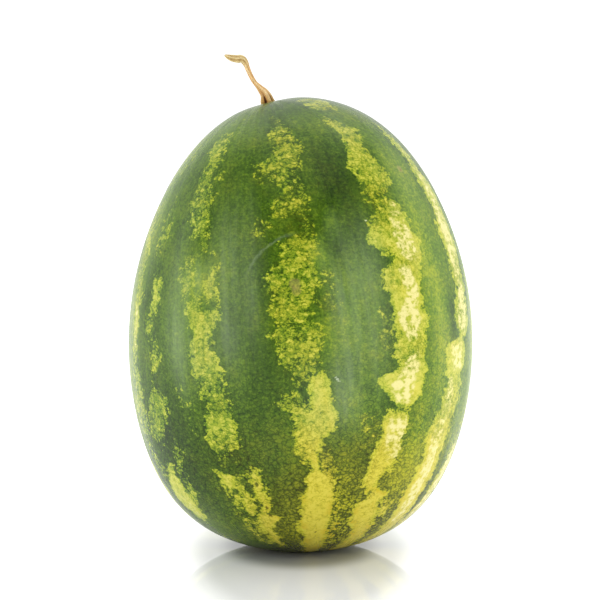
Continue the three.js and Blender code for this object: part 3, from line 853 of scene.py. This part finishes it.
def make_stem():
    outward = (STEM_FOOT - CORE) / np.linalg.norm(STEM_FOOT - CORE)
    root = STEM_FOOT - outward * STEM_ROOT
    points = [root] + [STEM_FOOT + np.array(step) * MM for step in STEM_LINE]
    line, heading, length = smooth_line(points, STEM_STEPS)
    stalk = bmesh.new()
    bmesh.ops.create_cone(stalk, cap_ends=True, segments=STEM_SIDES, radius1=1, radius2=1, depth=STEM_STEPS)
    upright = [edge for edge in stalk.edges if abs(edge.verts[0].co.z - edge.verts[1].co.z) > 1]
    bmesh.ops.subdivide_edges(stalk, edges=upright, cuts=STEM_STEPS - 1)
    stations, thicknesses = np.array(STEM_THICKNESS).T
    across = [Vector((1, 0, 0))]
    for step in range(STEM_STEPS):
        turned = Vector(heading[step]).rotation_difference(Vector(heading[step + 1]))
        across.append(turned @ across[-1])
    marks = []
    for vertex in stalk.verts:
        step = min(STEM_STEPS, max(0, round(vertex.co.z + STEM_STEPS / 2)))
        share = step / STEM_STEPS
        along = min(1, max(0, (share * length - STEM_ROOT) / (length - STEM_ROOT)))
        turn = math.atan2(vertex.co.y, vertex.co.x)
        twisted = turn + TWIST * along
        depth = RIB_DEPTH + TOE_DEPTH * math.exp(-along / TOE_LENGTH)
        rib = math.cos(STEM_RIBS * twisted)
        fibre = FIBRE_DEPTH * math.cos(FIBRES * twisted + 3 * math.sin(9 * along))
        outline = (1 + depth * rib + fibre) * (1 - FLATTENING * math.cos(2 * twisted))
        reach = np.interp(along, stations, thicknesses) * MM / 2 * outline - TRIM
        side = across[step]
        back = Vector(heading[step]).cross(side)
        marks.append((along, turn, rib, max(0, -rib) * math.exp(-along / 0.12)))
        vertex.co = Vector(line[step]) + (side * math.cos(turn) + back * math.sin(turn)) * reach
    mesh = bpy.data.meshes.new("watermelon_stem")
    bmesh.ops.recalc_face_normals(stalk, faces=stalk.faces)
    stalk.to_mesh(mesh)
    stalk.free()
    along, turn, rib, cleft_shade = np.array(marks).T
    store(mesh, "stem", along, cleft_shade**2, rib)
    round_grain = GRAIN_RADIUS * np.stack([np.cos(turn), np.sin(turn)])
    store(mesh, "grain", *round_grain, along * length * GRAIN_STRETCH)
    mesh.materials.append(dry_stem_material())
    mesh.shade_smooth()
    stem = bpy.data.objects.new("watermelon_stem", mesh)
    bpy.context.scene.collection.objects.link(stem)
    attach(stem, "root")
    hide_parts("stem")


make_stem()

# The studio is a table of glossy white plastic that runs on into a white background, with a pair of tall
# softboxes on each side of the camera and a weak one overhead. The table's top glows with painted light away
# from the fruit, which leaves a painted shadow round its foot. None of it is part of the fruit.
VIEW_HEIGHT = math.radians(5)
VIEW_DISTANCE = 1.6
AIM = Vector((-0.2 * MM, 0, 169.2 * MM))
LENS = 140.9
SENSOR_WIDTH = 36
TABLE_RADIUS = 6
# The table glows more away from the fruit, a painted glow that leaves a painted shadow round its foot: from
# and to which distance, and the glow there.
FOOT_PAINTED_GLOW = (0.062, 0.095, 0.0, 0.23)
WIDE_PAINTED_GLOW = (0.155, 0.215, 0.0, 0.33)
FAR_PAINTED_GLOW = (0.2, 0.5, 0.0, 0.4)
# The background's brightness by the direction it is seen in, from the front to behind the fruit.
BACKING = {"From Min": -0.3, "From Max": 0.6, "To Min": 0.08, "To Max": 1.2}
SOFTBOXES = (
    # Name, azimuth from the camera, distance, width, height and brightness.
    ("left_front_softbox", -44, 1.7, 0.75, 1.4, 2.5),
    ("right_front_softbox", 44, 1.7, 0.9, 1.4, 2.5),
    ("left_side_softbox", -98, 1.6, 0.6, 1.4, 1.7),
    ("right_side_softbox", 104, 1.6, 0.7, 1.4, 1.6),
)
OVERHEAD_SIZE = 1.6
OVERHEAD_HEIGHT = 1.7
OVERHEAD_BRIGHTNESS = 1.3
OVERHEAD_FORWARD = 0.2
OVERHEAD_AIM_HEIGHT = 0.2
SOFTBOX_CLEARANCE = 0.02


def add_softbox(name, place, towards, width, height, brightness):
    lamp = bpy.data.lights.new(name, "AREA")
    lamp.shape = "RECTANGLE"
    lamp.size = width
    lamp.size_y = height
    lamp.energy = brightness * math.pi * width * height
    box = bpy.data.objects.new(name, lamp)
    box.location = place
    box.rotation_euler = (place - towards).to_track_quat("Z", "Y").to_euler()
    box.visible_camera = False
    bpy.context.scene.collection.objects.link(box)


def white_table():
    top = bmesh.new()
    bmesh.ops.create_circle(top, cap_ends=True, segments=96, radius=TABLE_RADIUS)
    mesh = bpy.data.meshes.new("table")
    top.to_mesh(mesh)
    top.free()
    gloss = Finish("table_gloss_and_painted_glow")
    place = gloss.node("TexCoord", {}).outputs["Object"]
    # A painted glow on the table, weaker near the fruit, so that a painted shadow lies round its foot.
    near = gloss.length(gloss.stretched(place, (1.5, 1, 1)))
    wide = gloss.length(gloss.stretched(place, (2.6, 0.8, 1)))
    gleam = gloss.maths("ADD", gloss.fade(near, *FOOT_PAINTED_GLOW), gloss.fade(wide, *WIDE_PAINTED_GLOW))
    gleam = gloss.maths("ADD", gleam, gloss.fade(near, *FAR_PAINTED_GLOW))
    gloss.shader.inputs["Base Color"].default_value = (0.7, 0.7, 0.7, 1)
    gloss.shader.inputs["Roughness"].default_value = 0.03
    gloss.shader.inputs["IOR"].default_value = 1.22
    gloss.shader.inputs["Emission Color"].default_value = (1, 1, 1, 1)
    gloss.tree.links.new(gleam, gloss.shader.inputs["Emission Strength"])
    mesh.materials.append(gloss.material)
    table = bpy.data.objects.new("table", mesh)
    bpy.context.scene.collection.objects.link(table)


def white_background():
    """White to the camera. To the fruit, the white is behind and above it, and the room before it is dim."""
    world = bpy.data.worlds.new("studio")
    bpy.context.scene.world = world
    world.use_nodes = True
    nodes, links = world.node_tree.nodes, world.node_tree.links
    backing = nodes["Background"]
    direction = nodes.new("ShaderNodeTexCoord").outputs["Generated"]
    parts = nodes.new("ShaderNodeSeparateXYZ")
    links.new(direction, parts.inputs[0])
    depth = nodes.new("ShaderNodeMapRange")
    links.new(parts.outputs["Y"], depth.inputs["Value"])
    for name, value in BACKING.items():
        depth.inputs[name].default_value = value
    seen = nodes.new("ShaderNodeLightPath").outputs["Is Camera Ray"]
    strength = nodes.new("ShaderNodeMath")
    strength.operation = "MAXIMUM"
    links.new(depth.outputs[0], strength.inputs[0])
    links.new(seen, strength.inputs[1])
    links.new(strength.outputs[0], backing.inputs["Strength"])
    backing.inputs["Color"].default_value = (1, 1, 1, 1)


def set_camera():
    back = Vector((0, -math.cos(VIEW_HEIGHT), math.sin(VIEW_HEIGHT)))
    camera = bpy.data.objects.new("camera", bpy.data.cameras.new("camera"))
    camera.data.lens = LENS
    camera.data.sensor_width = SENSOR_WIDTH
    camera.location = AIM + back * VIEW_DISTANCE
    camera.rotation_euler = back.to_track_quat("Z", "Y").to_euler()
    bpy.context.scene.collection.objects.link(camera)
    bpy.context.scene.camera = camera


white_table()
white_background()
for name, azimuth, distance, width, tall, brightness in SOFTBOXES:
    turn = math.radians(azimuth)
    place = Vector((distance * math.sin(turn), -distance * math.cos(turn), tall / 2 + SOFTBOX_CLEARANCE))
    add_softbox(name, place, Vector((0, 0, tall / 2)), width, tall, brightness)
overhead = Vector((0, -OVERHEAD_FORWARD, OVERHEAD_HEIGHT))
below = Vector((0, 0, OVERHEAD_AIM_HEIGHT))
add_softbox("top_softbox", overhead, below, OVERHEAD_SIZE, OVERHEAD_SIZE, OVERHEAD_BRIGHTNESS)
set_camera()
bpy.context.scene.view_settings.view_transform = "Standard"
